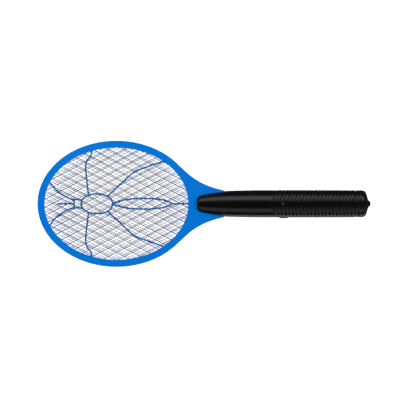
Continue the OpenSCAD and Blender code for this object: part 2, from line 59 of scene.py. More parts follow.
# ------------------------------------------------------------------ helpers
def catmull(pts, step, closed=False):
    """Points about `step` apart on a smooth curve through pts."""
    p = [np.array(q, float) for q in pts]
    n = len(p)
    out = []
    spans = n if closed else n - 1
    for i in range(spans):
        if closed:
            a, b, c, d = p[(i - 1) % n], p[i], p[(i + 1) % n], p[(i + 2) % n]
        else:
            b, c = p[i], p[i + 1]
            a = p[i - 1] if i > 0 else 2 * b - c
            d = p[i + 2] if i + 2 < n else 2 * c - b
        k = max(1, int(math.ceil(np.linalg.norm(c - b) / step)))
        # centripetal form keeps unevenly spaced points free of loops
        t0 = 0.0
        t1 = t0 + max(1e-6, np.linalg.norm(b - a) ** 0.5)
        t2 = t1 + max(1e-6, np.linalg.norm(c - b) ** 0.5)
        t3 = t2 + max(1e-6, np.linalg.norm(d - c) ** 0.5)
        for j in range(k):
            t = t1 + (t2 - t1) * j / k
            a1 = (t1 - t) / (t1 - t0) * a + (t - t0) / (t1 - t0) * b
            a2 = (t2 - t) / (t2 - t1) * b + (t - t1) / (t2 - t1) * c
            a3 = (t3 - t) / (t3 - t2) * c + (t - t2) / (t3 - t2) * d
            b1 = (t2 - t) / (t2 - t0) * a1 + (t - t0) / (t2 - t0) * a2
            b2 = (t3 - t) / (t3 - t1) * a2 + (t - t1) / (t3 - t1) * a3
            out.append((t2 - t) / (t2 - t1) * b1 + (t - t1) / (t2 - t1) * b2)
    if not closed:
        out.append(p[-1])
    return np.array(out)


def smoothstep(a, b, x):
    t = np.clip((np.asarray(x, float) - a) / (b - a), 0, 1)
    return t * t * (3 - 2 * t)


def make(name, verts, faces, mat=None, lift=True):
    me = bpy.data.meshes.new(name)
    v = np.array(verts, float).reshape(-1, 3).copy()
    if lift:
        v[:, 2] += AX
    me.from_pydata((v / 1000.0).tolist(), [], [list(f) for f in faces])
    me.validate()
    me.update()
    o = bpy.data.objects.new(name, me)
    bpy.context.scene.collection.objects.link(o)
    if mat is not None:
        me.materials.append(mat)
    return o


def tidy(o, angle=35.0, weld=1e-7, weighted=True):
    """Welds doubles, points the faces outward, smooths all but the true edges."""
    bm = bmesh.new()
    bm.from_mesh(o.data)
    if weld:
        bmesh.ops.remove_doubles(bm, verts=bm.verts, dist=weld)
    bmesh.ops.dissolve_degenerate(bm, edges=bm.edges, dist=1e-8)
    bmesh.ops.recalc_face_normals(bm, faces=bm.faces)
    lim = math.radians(angle)
    for f in bm.faces:
        f.smooth = True
    for e in bm.edges:
        e.smooth = not (len(e.link_faces) != 2 or e.calc_face_angle(0.0) > lim)
    bm.to_mesh(o.data)
    bm.free()
    o.data.update()
    if weighted:
        m = o.modifiers.new("normals", "WEIGHTED_NORMAL")
        m.keep_sharp = True
        m.weight = 60
    return o


def outward(o):
    bm = bmesh.new()
    bm.from_mesh(o.data)
    bmesh.ops.recalc_face_normals(bm, faces=bm.faces)
    bm.to_mesh(o.data)
    bm.free()
    o.data.update()


def bool_op(o, cutter, op, keep_cutter=False):
    outward(o)
    outward(cutter)
    m = o.modifiers.new("b", "BOOLEAN")
    m.operation = op
    m.object = cutter
    try:
        m.solver = "MANIFOLD"
    except TypeError:
        m.solver = "EXACT"
    dg = bpy.context.evaluated_depsgraph_get()
    me = bpy.data.meshes.new_from_object(o.evaluated_get(dg))
    if len(me.polygons) == 0 or len(me.vertices) < 8:
        m.solver = "EXACT"
        dg = bpy.context.evaluated_depsgraph_get()
        me = bpy.data.meshes.new_from_object(o.evaluated_get(dg))
    o.modifiers.remove(m)
    old = o.data
    mats = list(old.materials)
    o.data = me
    me.materials.clear()
    for mt in mats:
        me.materials.append(mt)
    bpy.data.meshes.remove(old)
    if not keep_cutter:
        bpy.data.objects.remove(cutter)
    return o


def tube_faces(rows, cols, close_rows=False, close_cols=True, flip=False):
    f = []
    rr = rows if close_rows else rows - 1
    cc = cols if close_cols else cols - 1
    for i in range(rr):
        for j in range(cc):
            a, b = i * cols + j, i * cols + (j + 1) % cols
            c, d = ((i + 1) % rows) * cols + (j + 1) % cols, ((i + 1) % rows) * cols + j
            f.append((a, b, c, d) if not flip else (d, c, b, a))
    return f


def sweep_flat(path, section, closed=False):
    """A section (offset, z) swept along a path in the XY plane."""
    p = np.asarray(path, float)
    n = len(p)
    if closed:
        t = np.roll(p, -1, 0) - np.roll(p, 1, 0)
    else:
        t = np.gradient(p, axis=0)
    t /= np.linalg.norm(t, axis=1)[:, None]
    nrm = np.stack([-t[:, 1], t[:, 0]], 1)
    verts = []
    for i in range(n):
        for off, z in section:
            q = p[i] + nrm[i] * off
            verts.append((q[0], q[1], z))
    k = len(section)
    faces = tube_faces(n, k, close_rows=closed)
    if not closed:
        faces.append(tuple(range(k)))
        faces.append(tuple((n - 1) * k + j for j in range(k - 1, -1, -1)))
    return verts, faces


def lathe(name, profile, segs=64, axis="z", origin=(0, 0, 0), mat=None, closed_profile=False):
    """Revolves (r, h) points. Points on the axis become poles."""
    verts, faces, rings = [], [], []
    for r, h in profile:
        if r < 1e-6:
            rings.append([len(verts)])
            verts.append((0, 0, h))
        else:
            rings.append(list(range(len(verts), len(verts) + segs)))
            for j in range(segs):
                a = 2 * math.pi * j / segs
                verts.append((r * math.cos(a), r * math.sin(a), h))
    pairs = list(zip(rings[:-1], rings[1:]))
    if closed_profile:
        pairs.append((rings[-1], rings[0]))
    for a, b in pairs:
        for j in range(segs):
            k = (j + 1) % segs
            if len(a) == 1 and len(b) == 1:
                continue
            if len(a) == 1:
                faces.append((a[0], b[j], b[k]))
            elif len(b) == 1:
                faces.append((a[j], b[0], a[k]))
            else:
                faces.append((a[j], b[j], b[k], a[k]))
    v = np.array(verts, float)
    if axis == "x":
        v = v[:, [2, 0, 1]]
    elif axis == "y":
        v = v[:, [1, 2, 0]]
    v = v + np.array(origin, float)
    return make(name, v, faces, mat)


def cyl(x, y, z0, z1, r, segs=48, bevel=0.0):
    prof = [(0, z0)]
    if bevel:
        prof += [(r - bevel, z0), (r, z0 + bevel), (r, z1 - bevel), (r - bevel, z1)]
    else:
        prof += [(r, z0), (r, z1)]
    prof += [(0, z1)]
    return lathe("cutter", prof, segs, "z", (x, y, 0))


def box_mm(x0, x1, y0, y1, z0, z1):
    v = [(x, y, z) for x in (x0, x1) for y in (y0, y1) for z in (z0, z1)]
    f = [(0, 1, 3, 2), (4, 6, 7, 5), (0, 4, 5, 1), (2, 3, 7, 6), (0, 2, 6, 4), (1, 5, 7, 3)]
    return make("cutter", v, f)


def prism_y(outline_xz, y0, y1):
    n = len(outline_xz)
    v = [(x, y0, z) for x, z in outline_xz] + [(x, y1, z) for x, z in outline_xz]
    f = [tuple(range(n)), tuple(range(2 * n - 1, n - 1, -1))]
    f += [(i, i + n, (i + 1) % n + n, (i + 1) % n) for i in range(n)]
    return make("cutter", v, f)


def join(objs, name):
    bm = bmesh.new()
    mats = []
    for o in objs:
        dg = bpy.context.evaluated_depsgraph_get()
        me = bpy.data.meshes.new_from_object(o.evaluated_get(dg))
        me.transform(o.matrix_world)
        bm.from_mesh(me)
        for mt in o.data.materials:
            if mt not in mats:
                mats.append(mt)
        bpy.data.meshes.remove(me)
    me = bpy.data.meshes.new(name)
    bm.to_mesh(me)
    bm.free()
    for mt in mats:
        me.materials.append(mt)
    for o in objs:
        bpy.data.objects.remove(o)
    o = bpy.data.objects.new(name, me)
    bpy.context.scene.collection.objects.link(o)
    return o


# ------------------------------------------------------------------ materials
def material(name, color, rough=0.45, metallic=0.0, var=0.06, rough_var=0.06, noise_mm=1.2,
             bump=0.02, bump_mm=0.35, specular=None, coat=0.0, coat_rough=0.15, tint=None, alpha_sub=0.0,
             streak=None, second=None):
    """A moulded or drawn surface: two scales of noise drive its colour, its gloss and its relief."""
    m = bpy.data.materials.new(name)
    m.use_nodes = True
    nt = m.node_tree
    b = nt.nodes["Principled BSDF"]
    b.inputs["Metallic"].default_value = metallic
    if specular is not None:
        b.inputs["Specular IOR Level"].default_value = specular
    if coat:
        b.inputs["Coat Weight"].default_value = coat
        b.inputs["Coat Roughness"].default_value = coat_rough
    if alpha_sub:
        b.inputs["Subsurface Weight"].default_value = alpha_sub
        b.inputs["Subsurface Radius"].default_value = (0.002, 0.002, 0.002)
        b.inputs["Subsurface Scale"].default_value = 0.5
    tc = nt.nodes.new("ShaderNodeTexCoord")
    mp = nt.nodes.new("ShaderNodeMapping")
    nt.links.new(tc.outputs["Object"], mp.inputs["Vector"])
    if streak:
        mp.inputs["Scale"].default_value = streak
    n1 = nt.nodes.new("ShaderNodeTexNoise")
    n1.inputs["Scale"].default_value = 1000.0 / noise_mm / 10.0
    n1.inputs["Detail"].default_value = 5.0
    n1.inputs["Roughness"].default_value = 0.6
    nt.links.new(mp.outputs["Vector"], n1.inputs["Vector"])
    n2 = nt.nodes.new("ShaderNodeTexNoise")
    n2.inputs["Scale"].default_value = 1000.0 / bump_mm
    n2.inputs["Detail"].default_value = 3.0
    nt.links.new(mp.outputs["Vector"], n2.inputs["Vector"])
    ramp = nt.nodes.new("ShaderNodeValToRGB")
    lo = [c * (1 - var) for c in color]
    hi = [min(1.0, c * (1 + var)) for c in color]
    if tint:
        hi = [min(1.0, h * 0.5 + t * 0.5) for h, t in zip(hi, tint)]
    ramp.color_ramp.elements[0].position = 0.35
    ramp.color_ramp.elements[1].position = 0.65
    ramp.color_ramp.elements[0].color = (*lo, 1)
    ramp.color_ramp.elements[1].color = (*hi, 1)
    nt.links.new(n1.outputs["Fac"], ramp.inputs["Fac"])
    nt.links.new(ramp.outputs["Color"], b.inputs["Base Color"])
    mr = nt.nodes.new("ShaderNodeMapRange")
    mr.inputs["From Min"].default_value = 0.3
    mr.inputs["From Max"].default_value = 0.7
    mr.inputs["To Min"].default_value = max(0.03, rough - rough_var)
    mr.inputs["To Max"].default_value = min(1.0, rough + rough_var)
    nt.links.new(n1.outputs["Fac"], mr.inputs["Value"])
    nt.links.new(mr.outputs["Result"], b.inputs["Roughness"])
    bp = nt.nodes.new("ShaderNodeBump")
    bp.inputs["Strength"].default_value = bump
    bp.inputs["Distance"].default_value = 0.0002
    nt.links.new(n2.outputs["Fac"], bp.inputs["Height"])
    nt.links.new(bp.outputs["Normal"], b.inputs["Normal"])
    return m


M_BLUE = material("blue_abs", (0.0006, 0.166, 0.622), rough=0.42, var=0.02, rough_var=0.04, noise_mm=4, bump=0.03, bump_mm=0.5, specular=0.08)
# The guard web is the rim's own blue ABS painted darker: painted shade on its thin ribs, not a different plastic.
M_WEB_PAINTED_SHADE = material("blue_abs_web_painted_shade", (0.003, 0.11, 0.38), rough=0.45, var=0.03, rough_var=0.04, noise_mm=4, bump=0.03, bump_mm=0.5, specular=0.08)
M_BLACK = material("black_abs", (0.0018, 0.0018, 0.0020), rough=0.25, var=0.15, rough_var=0.05, noise_mm=3, bump=0.10, bump_mm=0.45, specular=0.36)
M_WIRE = material("grid_wire_steel", (0.172, 0.182, 0.262), rough=0.38, metallic=1.0, var=0.12, rough_var=0.08, noise_mm=0.8, bump=0.05, bump_mm=0.2)
M_RED = material("red_button_abs", (0.42, 0.03, 0.055), rough=0.35, var=0.05, rough_var=0.04, noise_mm=2, bump=0.04, bump_mm=0.3)
M_LED = material("led_epoxy", (0.06, 0.06, 0.06), rough=0.5, var=0.05, rough_var=0.03, noise_mm=1, bump=0.02, bump_mm=0.3, specular=0.3)
M_SCREW = material("zinc_screw", (0.42, 0.42, 0.43), rough=0.33, metallic=1.0, var=0.15, rough_var=0.1, noise_mm=0.8, bump=0.1, bump_mm=0.25)

INNER = {
    "front_spacer_ring": material("spacer_pp", (0.002, 0.11, 0.42), 0.5, var=0.1, noise_mm=3),
    "rear_spacer_ring": None,
    "switch_plunger": material("plunger_nylon", (0.78, 0.76, 0.70), 0.4, var=0.04, noise_mm=1.5),
    "switch_body": material("switch_nylon", (0.04, 0.04, 0.045), 0.45, var=0.12, noise_mm=1.5),
    "circuit_board": material("solder_mask", (0.02, 0.15, 0.05), 0.35, var=0.25, noise_mm=2.5, coat=0.4, bump=0.12, bump_mm=0.6),
    "transformer_core": material("ferrite", (0.045, 0.045, 0.05), 0.6, var=0.25, noise_mm=0.6, bump=0.3, bump_mm=0.25),
    "transformer_bobbin": material("bobbin_nylon", (0.76, 0.72, 0.60), 0.45, var=0.05, noise_mm=2),
    "transformer_winding": material("enamelled_copper", (0.45, 0.16, 0.05), 0.3, 0.7, var=0.2, noise_mm=1, bump=0.4, bump_mm=0.3, streak=(6, 1, 1)),
    "storage_capacitor": material("film_capacitor_epoxy", (0.30, 0.045, 0.02), 0.3, var=0.08, noise_mm=2, coat=0.5),
    "multiplier_capacitors": material("ceramic_lacquer", (0.55, 0.26, 0.04), 0.35, var=0.1, noise_mm=1.2, coat=0.3),
    "rectifier_diodes": material("moulded_epoxy", (0.015, 0.015, 0.016), 0.45, var=0.2, noise_mm=0.8, bump=0.1),
    "drive_transistor": None,
    "resistors": material("resistor_lacquer", (0.50, 0.36, 0.20), 0.4, var=0.1, noise_mm=0.8),
    "hv_lead_front": material("pvc_red", (0.42, 0.02, 0.02), 0.4, var=0.06, noise_mm=1.5),
    "hv_lead_centre": material("pvc_white", (0.68, 0.68, 0.64), 0.4, var=0.05, noise_mm=1.5),
    "hv_lead_rear": material("pvc_blue", (0.03, 0.08, 0.34), 0.4, var=0.06, noise_mm=1.5),
    "battery_lead_red": None,
    "battery_lead_black": material("pvc_black", (0.015, 0.015, 0.016), 0.4, var=0.1, noise_mm=1.5),
    "battery_cradle": material("inner_abs", (0.05, 0.052, 0.057), 0.48, var=0.1, noise_mm=2.5, bump=0.08),
    "battery_cell_a": material("cell_jacket_film", (0.05, 0.20, 0.08), 0.28, var=0.06, noise_mm=3, coat=0.5),
    "battery_cell_b": None,
    "positive_contact": material("nickel_spring_steel", (0.58, 0.57, 0.52), 0.28, 1.0, var=0.08, noise_mm=1, bump=0.08),
    "negative_spring": None,
    "end_collar": None,
    "contact_carrier": None,
    "bridge_contact": None,
    "carrier_screw": M_SCREW,
    "swivel_post": None,
}
SAME_AS = {"rear_spacer_ring": "front_spacer_ring", "drive_transistor": "rectifier_diodes", "battery_lead_red": "hv_lead_front",
           "battery_cell_b": "battery_cell_a", "negative_spring": "positive_contact", "end_collar": "battery_cradle",
           "contact_carrier": "battery_cradle", "bridge_contact": "positive_contact", "swivel_post": "battery_cradle"}
for node_name, m in INNER.items():
    if m is None:
        m = INNER[SAME_AS[node_name]]
    o = NODES[node_name]
    o.data.materials.clear()
    o.data.materials.append(m)

# ------------------------------------------------------------------ head: rim halves and throat
THROAT = [(-35.6, 53.75), (-27.2, 46.0), (-19.2, 38.9), (-12.3, 33.8), (-5.6, 29.7), (1.2, 26.3),
          (8.0, 23.6), (14.7, 21.4), (21.4, 19.5), (27.2, 18.0)]


def head_loops():
    """Matched points of the outer outline and of the oval opening, once round."""
    a0 = math.acos(max(-1, min(1, (THROAT[0][0] - HX) / HA)))
    tongue = [(34.0, 0), (34.0, 4), (34.0, 8), (34.0, 11.6), (33.75, 12.5), (33.0, 12.95), (31.5, 13.0), (30.0, 13.05),
              (29.35, 13.4), (29.0, 14.2), (28.95, 15.6), (28.8, 16.7), (28.3, 17.4)]
    side = catmull([(27.9, 17.7)] + THROAT[::-1], 1.6)
    half_o = [np.array(p, float) for p in tongue] + list(side[:-1])
    n = len(half_o)
    half_i = []
    for i in range(n):
        w = i / n
        a = a0 * (w ** 1.15)
        half_i.append(np.array((HX + OA * math.cos(a), OB * math.sin(a))))
    steps = 76
    for k in range(steps + 1):
        a = a0 + (math.pi - a0) * k / steps
        half_o.append(np.array((HX + HA * math.cos(a), HB * math.sin(a))))
        half_i.append(np.array((HX + OA * math.cos(a), OB * math.sin(a))))
    up_o, up_i = half_o, half_i
    lo_o = [np.array((p[0], -p[1])) for p in half_o[-2:0:-1]]
    lo_i = [np.array((p[0], -p[1])) for p in half_i[-2:0:-1]]
    return np.array(up_o + lo_o), np.array(up_i + lo_i)


def normals_2d(p):
    t = np.roll(p, -1, 0) - np.roll(p, 1, 0)
    t /= np.linalg.norm(t, axis=1)[:, None]
    return np.stack([-t[:, 1], t[:, 0]], 1)  # points to the left of travel: inward for an anticlockwise loop


def head_half(name, sign, mat):
    O, I = head_loops()
    nO, nI = normals_2d(O), -normals_2d(I)
    rings = []

    def ring(base, nrm, d, z):
        rings.append((base + nrm * d, z))

    r = 0.9
    ring(O, nO, 0.28, 0.0)
    ring(O, nO, 0.0, 0.30)
    ring(O, nO, 0.0, 2.2)
    ring(O, nO, 0.0, HT - r)
    for t in (18, 36, 54, 72, 90):
        ring(O, nO, r * (1 - math.cos(math.radians(t))), HT - r + r * math.sin(math.radians(t)))
    # middle of the face, very slightly crowned
    mid = (O + nO * r) * 0.5 + (I + nI * 0.7) * 0.5
    rings.append((mid, HT + 0.03))
    r = 0.7
    for t in (90, 67.5, 45, 22.5, 0):
        ring(I, nI, r * (1 - math.cos(math.radians(t))), HT - r + r * math.sin(math.radians(t)))
    ring(I, nI, 0.0, LIP + 0.15)
    ring(I, nI, 0.15, LIP)
    ring(O, nO, 3.0, LIP)
    ring(O, nO, 3.0, 0.0)
    n = len(O)
    verts = []
    for p, z in rings:
        for q in p:
            verts.append((q[0], q[1], sign * z))
    k = len(rings)
    faces = []
    for i in range(k):
        for j in range(n):
            a, b = i * n + j, i * n + (j + 1) % n
            c, d = ((i + 1) % k) * n + (j + 1) % n, ((i + 1) % k) * n + j
            faces.append((a, b, c, d))
    return make(name, verts, faces, mat)


def web(name, sign, mat):
    """The insect-shaped guard: every rib a rounded bar, merged into one solid."""
    w, z0, z1 = 1.1, LIP + 0.05, HT - 0.2
    sec = [(-w, z0)] + [(-w * math.cos(math.radians(t)), z1 - w * 1.15 + w * 1.15 * math.sin(math.radians(t)))
                        for t in (0, 22.5, 45, 67.5, 90, 112.5, 135, 157.5, 180)] + [(w, z0)]
    sec = [(a, sign * b) for a, b in sec]
    lines = []
    for s in (1, -1):
        front = [(-58.6, 5.8), (-62.5, 6.9), (-66.2, 8.4), (-71.2, 11.2), (-76.8, 14.9), (-81.9, 18.9), (-85.6, 23.4), (-90.4, 29.6)]
        middle = [(-37.6, 12.2), (-38.4, 18), (-39.7, 28.7), (-41.2, 44), (-41.4, 50), (-40.6, 56), (-37.2, 61.4), (-34.2, 65.6), (-32.6, 73)]
        rear = [(-11.2, 10.4), (-8.5, 13.2), (1.6, 22.7), (13.4, 33.7), (21.5, 41.0), (26.9, 44.4), (34, 47.2), (43.8, 50.6), (59, 55.9), (67, 59.2)]
        head = [(-46.4, 5.3), (-52, 5.6), (-58.6, 5.8)]
        face = [(-59.0, 6.0), (-56.8, 3.6), (-56.9, 1.6), (-58.2, -0.4)]
        for q in (front, middle, rear, head, face):
            lines.append(([(x, s * y) for x, y in q], False))
    lines.append(([(-80.2, 0), (-70, 0), (-57.4, 0)], False))
    lines.append(([(73.8, 0), (85, 0), (99.2, 0)], False))
    thorax = [(-26.2 + 21.1 * np.sign(math.cos(a)) * abs(math.cos(a)) ** (2 / 2.15), 13.3 * np.sign(math.sin(a)) * abs(math.sin(a)) ** (2 / 2.15))
              for a in np.linspace(0, 2 * math.pi, 33)[:-1]]
    lines.append((thorax, True))
    up = [(-5.2, 0.0), (-2.6, 1.5), (1.6, 2.8), (9.7, 4.9), (20, 6.5), (32, 7.1), (44, 7.1), (56, 6.2), (65.4, 4.6), (71.6, 2.5), (74.5, 0.0)]
    lines.append((up + [(x, -y) for x, y in up[-2:0:-1]], True))
    whole = None
    for pts, closed in lines:
        path = catmull(pts, 1.0, closed) + np.array((HX, 0.0))
        v, f = sweep_flat(path, sec, closed)
        o = make("rib", v, f)
        bm = bmesh.new()
        bm.from_mesh(o.data)
        bmesh.ops.recalc_face_normals(bm, faces=bm.faces)
        bm.to_mesh(o.data)
        bm.free()
        if whole is None:
            whole = o
        else:
            bool_op(whole, o, "UNION")
    whole.name = name
    whole.data.materials.clear()
    whole.data.materials.append(mat)
    return whole


rim_front = head_half("front_rim", 1, M_BLUE)
rim_rear = head_half("rear_rim", -1, M_BLUE)
for s in (1, -1):
    bool_op(rim_rear, cyl(-2, 17 * s, -4.4, -2.6, 3.6), "UNION")
    bool_op(rim_rear, cyl(-2, 17 * s, -7, -4.4, 2.9), "DIFFERENCE")
web_front = web("front_guard_web", 1, M_WEB_PAINTED_SHADE)
web_rear = web("rear_guard_web", -1, M_WEB_PAINTED_SHADE)
for o, node in ((rim_front, "front_head_frame"), (web_front, "front_head_frame"), (rim_rear, "rear_head_frame"), (web_rear, "rear_head_frame")):
    tidy(o, 40)
    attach(o, "racket")
    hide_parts(node)


# ------------------------------------------------------------------ grids
def grid(name, z, pitch, angle, wire_r, node, phase=0.0):
    """A flat hem carrying two welded families of round wires."""
    ia, ib, oa, ob = OA + 1.2, OB + 1.2, HA - 3.3, HB - 3.3
    verts, faces = [], []
    n = 120
    hem = [(ia, ib, z - 0.30), (ia + 0.1, ib + 0.1, z + 0.30), (oa, ob, z + 0.30), (oa, ob, z - 0.30)]
    for a, b, h in hem:
        for j in range(n):
            t = 2 * math.pi * j / n
            verts.append((HX + a * math.cos(t), b * math.sin(t), h))
    for i in range(4):
        for j in range(n):
            faces.append((i * n + j, i * n + (j + 1) % n, ((i + 1) % 4) * n + (j + 1) % n, ((i + 1) % 4) * n + j))
    mid_a, mid_b = (ia + oa) / 2, (ib + ob) / 2
    sides = 8
    for fam in (1, -1):
        ang = math.radians(angle * fam)
        nx, ny = -math.sin(ang), math.cos(ang)
        tx, ty = math.cos(ang), math.sin(ang)
        reach = math.hypot(ia * nx, ib * ny)
        count = int(reach / pitch) + 1
        zc = z + fam * wire_r * 0.35
        for i in range(-count, count + 1):
            d = (i + phase) * pitch
            if abs(d) > reach * 0.985:
                continue
            qa = (tx / mid_a) ** 2 + (ty / mid_b) ** 2
            qb = 2 * d * (nx * tx / mid_a ** 2 + ny * ty / mid_b ** 2)
            qc = d * d * ((nx / mid_a) ** 2 + (ny / mid_b) ** 2) - 1
            disc = math.sqrt(qb * qb - 4 * qa * qc)
            s0, s1 = (-qb - disc) / (2 * qa), (-qb + disc) / (2 * qa)
            base = len(verts)
            segs = max(2, int((s1 - s0) / 25))
            for k in range(segs + 1):
                s = s0 + (s1 - s0) * k / segs
                for j in range(sides):
                    t = 2 * math.pi * (j + 0.5) / sides
                    off = wire_r * math.cos(t)
                    verts.append((HX + d * nx + s * tx + off * nx, d * ny + s * ty + off * ny, zc + wire_r * math.sin(t)))
            for k in range(segs):
                for j in range(sides):
                    faces.append((base + k * sides + j, base + k * sides + (j + 1) % sides,
                                  base + (k + 1) * sides + (j + 1) % sides, base + (k + 1) * sides + j))
            faces.append(tuple(base + j for j in range(sides)))
            faces.append(tuple(base + segs * sides + j for j in range(sides - 1, -1, -1)))
    o = make(name, verts, faces, M_WIRE)
    tidy(o, 50, weld=0, weighted=False)
    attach(o, "racket")
    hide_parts(node)
    return o


grid("front_wire_grid", LIP - 0.38, 9.8, 27.0, 0.35, "front_grid", 0.0)
grid("centre_wire_grid", 0.0, 4.9, 27.4, 0.28, "centre_grid", 0.24)
grid("rear_wire_grid", -LIP + 0.38, 9.8, 26.5, 0.34, "rear_grid", 0.27)

# ------------------------------------------------------------------ handle shells
NOSE_X, SEAM_X, SHELL_T = -9.4, 204.6, 2.0
GRIP_X0 = 88.6
RIB_PITCH = 4.93


def profile_r(x):
    """Outer radius of the handle without its grip ribs."""
    xs = [-4.0, 4.0, 13.0, 28.4, 42.0, 69.0, 86.0, 93.0, 130.0, 170.0, 204.6, 214.5]
    rs = [12.9, 14.45, 15.95, 17.4, 17.8, 18.35, 18.4, 18.32, 18.32, 18.25, 18.1, 18.05]
    return float(np.interp(x, xs, rs))


def profile_smooth(x):
    return sum(profile_r(x + d) for d in (-4, -2, 0, 2, 4)) / 5 if x > 2 else profile_r(x)


def shear(s):
    """How far along X a grip rib has moved at arc length s from the crest line."""
    s = abs(s)
    lead = math.sqrt(s * s + 1.0) - 1.0
    # slope 0.95 near the crest, falling to 0.3 round the sides
    k = 0.30 * lead
    t = min(lead, 18.0)
    k += 0.65 * (t - t * t / 36.0)
    return k


def rib_fade(s):
    """The ribs die out either side of a smooth strip along the crest, where the indicator sits."""
    return float(smoothstep(1.8, 4.6, abs(s)))


def rib_height(u):
    """Relief of the grip along the sheared coordinate: a tall rib, then a low one."""
    if u < GRIP_X0 - 1.2:
        return 0.0
    h = 0.0
    k = round((u - GRIP_X0) / RIB_PITCH)
    for i in (k - 1, k, k + 1):
        if i < 0:
            continue
        d = abs(u - (GRIP_X0 + i * RIB_PITCH))
        amp = 0.58 if i % 2 == 0 else 0.42
        w = 1.3
        if d < w:
            h = max(h, amp * (0.5 + 0.5 * math.cos(math.pi * d / w)) ** 0.8)
    return h


def shell_half(name, sign):
    segs = 84
    rows = []  # (u, r or None, kind)
    for r in (0.0, 3.0, 6.0, 8.0):
        rows.append(("x", NOSE_X, r))
    for x, r in ((-9.28, 9.1), (-8.9, 10.0), (-8.3, 10.85), (-7.4, 11.6), (-6.2, 12.2), (-5.0, 12.62)):
        rows.append(("x", x, r))
    us = [-4.0 + i * 3.0 for i in range(31)]  # to 86
    us = [u for u in us if u < 86.2] + [87.0]
    u = GRIP_X0 - 1.05
    grid_u = []
    k = 0
    while True:
        c = GRIP_X0 + k * RIB_PITCH
        if c > 210:
            break
        grid_u += [c + d for d in (-1.3, -1.08, -0.82, -0.52, -0.24, 0.0, 0.24, 0.52, 0.82, 1.08, 1.3, 1.85, 2.465, 3.08)]
        k += 1
    us += sorted(grid_u)
    for u in us:
        rows.append(("u", u, None))
    verts_o, verts_n = [], []
    cols = segs + 1
    for kind, u, r in rows:
        for j in range(cols):
            a = math.pi * (j / segs) - math.pi / 2  # -90..90 from the crest line
            if kind == "x":
                x, rad = u, r
            else:
                arc = a * 18.4
                blend = float(smoothstep(38.0, 86.0, u))
                x = u + shear(arc) * blend
                rad = profile_smooth(x) + rib_height(u) * rib_fade(arc)
            # a fine bevel along the parting line
            edge = 90 - abs(math.degrees(a))
            drop = 0.16 * max(0.0, 1 - edge / 1.2)
            rad_o = max(0.0, rad - drop)
            verts_o.append((x, rad_o * math.sin(a), sign * rad_o * math.cos(a)))
            xi = max(x, NOSE_X) + (SHELL_T if kind == "x" and r < 9 else (SHELL_T * 0.6 if kind == "x" else 0.0))
            ri = max(0.0, (r if kind == "x" else profile_smooth(x)) - (0.0 if kind == "x" and r < 6.5 else SHELL_T * 0.9))
            verts_n.append((xi, ri * math.sin(a), sign * ri * math.cos(a)))
    n = len(verts_o)
    faces = tube_faces(len(rows), cols, close_cols=False)
    faces += [tuple(n + q for q in f[::-1]) for f in tube_faces(len(rows), cols, close_cols=False)]
    R = len(rows)
    for i in range(R - 1):
        for j in (0, cols - 1):
            a, b = i * cols + j, (i + 1) * cols + j
            f = (a, b, b + n, a + n)
            faces.append(f if j == 0 else f[::-1])
    last = (R - 1) * cols
    for j in range(cols - 1):
        faces.append((last + j, last + j + 1, last + j + 1 + n, last + j + n))
    # row 0 is a pole: outer and inner both collapse to a point
    o = make(name, verts_o + verts_n, faces, M_BLACK)
    bm = bmesh.new()
    bm.from_mesh(o.data)
    bmesh.ops.remove_doubles(bm, verts=bm.verts, dist=1e-6)
    bmesh.ops.holes_fill(bm, edges=[e for e in bm.edges if e.is_boundary], sides=0)
    bmesh.ops.recalc_face_normals(bm, faces=bm.faces)
    bm.to_mesh(o.data)
    bm.free()
    return o


def oval(g, l=11.3, h=7.0, cx=108.0, n=40):
    r = h / 2 + g
    c = (l - h) / 2
    pts = []
    for i in range(n + 1):
        a = -math.pi / 2 + math.pi * i / n
        pts.append((cx + c + r * math.cos(a), r * math.sin(a)))
    for i in range(n + 1):
        a = math.pi / 2 + math.pi * i / n
        pts.append((cx - c + r * math.cos(a), r * math.sin(a)))
    return pts


def finish_shell(o):
    bool_op(o, box_mm(SEAM_X, 280, -60, 60, -60, 60), "DIFFERENCE")
    bool_op(o, box_mm(-30, 29.2, -60, 60, -HT - 0.12, HT + 0.12), "DIFFERENCE")
    bool_op(o, prism_y(oval(0.3), -30, -10), "DIFFERENCE")
    return o


front_shell = finish_shell(shell_half("front_handle_half", 1))
bool_op(front_shell, cyl(106.7, 0, 12, 30, 1.65), "DIFFERENCE")
rear_shell = finish_shell(shell_half("rear_handle_half", -1))


def stepped(x, y, z0, z_step, z1, r0, r1):
    return lathe("cutter", [(0, z0), (r0, z0), (r0, z_step), (r1, z_step), (r1, z1), (0, z1)], 44, "z", (x, y, 0))


def inside_skin(x, y, z1, r):
    """A boss that starts within the thickness of the rear shell, whatever the skin's slope there."""
    boss = cyl(x, y, -30, z1, r, 44)
    core = lathe("cutter", [(0, x - 9.0)] + [(profile_smooth(x + d) - 0.55, x + d) for d in (-9.0, -4.5, 0.0, 4.5, 9.0)] + [(0, x + 9.0)],
                 90, "x", (0, 0, 0))
    return bool_op(boss, core, "INTERSECT")


posts = join([inside_skin(138, 0, -12.6, 4.2)] + [inside_skin(14, 8 * s, -6.4, 3.9) for s in (1, -1)], "posts")
bool_op(rear_shell, posts, "UNION")
holes = join([stepped(138, 0, -30, -13.8, -5, 3.0, 1.6)] + [stepped(14, 8 * s, -30, -8.6, -5, 2.9, 1.6) for s in (1, -1)], "holes")
bool_op(rear_shell, holes, "DIFFERENCE")
for o, node in ((front_shell, "front_handle_shell"), (rear_shell, "rear_handle_shell")):
    tidy(o, 32)
    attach(o, "racket")
    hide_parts(node)


